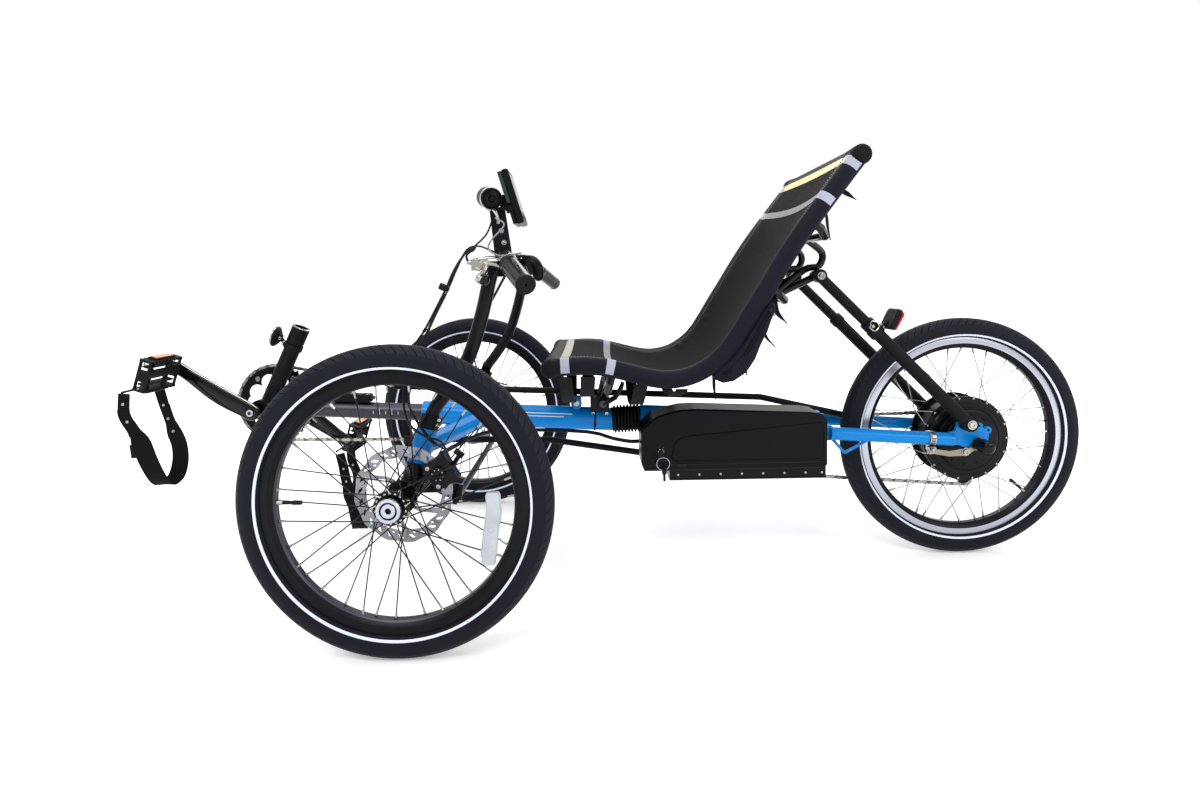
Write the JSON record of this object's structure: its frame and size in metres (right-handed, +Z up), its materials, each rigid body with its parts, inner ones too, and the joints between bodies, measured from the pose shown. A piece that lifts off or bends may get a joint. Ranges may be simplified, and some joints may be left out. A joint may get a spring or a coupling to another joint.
{
  "type": "recumbent tricycle",
  "caption": "Recumbent tricycle with two steered front wheels, a mesh sling seat between tube rails, a sprung rear frame, a hub motor and a side-mounted battery.",
  "frame": {"origin": "on the floor, under the middle of the length and width of the trike", "axes": "+Z up, +X towards the rear wheel, +Y towards the right-hand side of the rider, so the pedals lie at -X"},
  "size_m": [1.8806, 0.826, 0.817],
  "materials": {
    "black_metal": "black anodised aluminium",
    "black_paint": "satin black powder coat",
    "black_plastic": "matt black moulded plastic",
    "clear_lens": "clear reflector lens",
    "frame_paint": "glossy blue powder coat",
    "gloss_plastic": "glossy black plastic",
    "graphite": "dark anodised aluminium",
    "mesh_fabric": "dark mesh with navy-black edges",
    "red_lens": "red lens",
    "rubber": "black rubber",
    "silver_metal": "polished aluminium",
    "steel": "zinc-plated steel",
    "tyre": "black tyre rubber with a thin reflective line",
    "webbing": "black webbing"
  },
  "bodies": {
    "frame": {"main_tube": "frame_paint", "cross_member": "frame_paint", "boom": "graphite", "accessory_post": "black_paint", "front_reflector": "clear_lens", "controller_box": "black_plastic", "rear_frame": "frame_paint", "suspension_bellows": "rubber", "rear_axle": "steel", "torque_arm": "steel", "battery": "gloss_plastic", "battery_rail": "black_metal", "seat_frame": "black_paint", "seat_sling": "mesh_fabric", "seat_struts": "black_metal", "seat_clamp": "black_metal", "seat_pouch": "mesh_fabric", "tail_light": "red_lens", "chain": "steel", "chain_tubes": "black_plastic", "derailleur": "black_metal", "frame_cables": "rubber"},
    "left_steer": {"left_knuckle": "black_metal", "left_handlebar": "black_paint", "left_grip": "rubber", "left_brake_lever": "silver_metal", "left_caliper": "black_metal", "left_cable": "rubber", "throttle": "black_plastic", "accessory_bar": "black_paint", "display": "gloss_plastic", "horn": "gloss_plastic"},
    "right_steer": {"right_knuckle": "black_metal", "right_handlebar": "black_paint", "right_grip": "rubber", "right_brake_lever": "silver_metal", "right_caliper": "black_metal", "right_cable": "rubber"},
    "steering_link": {"tie_rod": "black_paint"},
    "left_wheel": {"left_hub": "black_metal", "left_rotor": "steel", "left_spokes": "black_metal", "left_rim": "black_metal", "left_tyre": "tyre"},
    "right_wheel": {"right_hub": "black_metal", "right_rotor": "steel", "right_spokes": "black_metal", "right_rim": "black_metal", "right_tyre": "tyre"},
    "rear_wheel": {"rear_motor": "black_metal", "rear_sprockets": "steel", "rear_spokes": "steel", "rear_rim": "silver_metal", "rear_tyre": "tyre"},
    "crank": {"crankset": "black_metal", "chainring": "black_metal"},
    "left_pedal_body": {"left_pedal": "black_plastic", "left_foot_strap": "webbing"},
    "right_pedal_body": {"right_pedal": "black_plastic", "right_foot_strap": "webbing"}
  },
  "joints": [
    {"name": "left_steering", "type": "hinge", "parent": "frame", "child": "left_steer", "pos_m": [-0.38471, -0.30895, 0.25], "axis": [0.2672, 0.2462, 0.9317], "range_deg": [-25, 25]},
    {"name": "right_steering", "type": "hinge", "parent": "frame", "child": "right_steer", "pos_m": [-0.38471, 0.30895, 0.25], "axis": [0.2672, -0.2462, 0.9317], "range_deg": [-25, 25]},
    {"name": "tie_rod_swivel", "type": "hinge", "parent": "left_steer", "child": "steering_link", "pos_m": [-0.31171, -0.28495, 0.229], "axis": [0.2087, 0.2451, 0.9468], "range_deg": [-30, 30]},
    {"name": "left_wheel_spin", "type": "hinge", "parent": "left_steer", "child": "left_wheel", "pos_m": [-0.38771, -0.375, 0.25], "axis": [0, 1, 0], "continuous": true},
    {"name": "right_wheel_spin", "type": "hinge", "parent": "right_steer", "child": "right_wheel", "pos_m": [-0.38771, 0.375, 0.25], "axis": [0, 1, 0], "continuous": true},
    {"name": "rear_wheel_spin", "type": "hinge", "parent": "frame", "child": "rear_wheel", "pos_m": [0.69729, 0, 0.25], "axis": [0, 1, 0], "continuous": true},
    {"name": "crank_spin", "type": "hinge", "parent": "frame", "child": "crank", "pos_m": [-0.76871, 0, 0.33891], "axis": [0, 1, 0], "continuous": true},
    {"name": "left_pedal_spin", "type": "hinge", "parent": "crank", "child": "left_pedal_body", "pos_m": [-0.91129, -0.131, 0.4315], "axis": [0, 1, 0], "continuous": true},
    {"name": "right_pedal_spin", "type": "hinge", "parent": "crank", "child": "right_pedal_body", "pos_m": [-0.62614, 0.131, 0.24632], "axis": [0, 1, 0], "continuous": true}
  ],
  "couplings": [
    {"joint": "right_steering", "follows": "left_steering", "ratio": 1},
    {"joint": "tie_rod_swivel", "follows": "left_steering", "ratio": -1.0837}
  ]
}
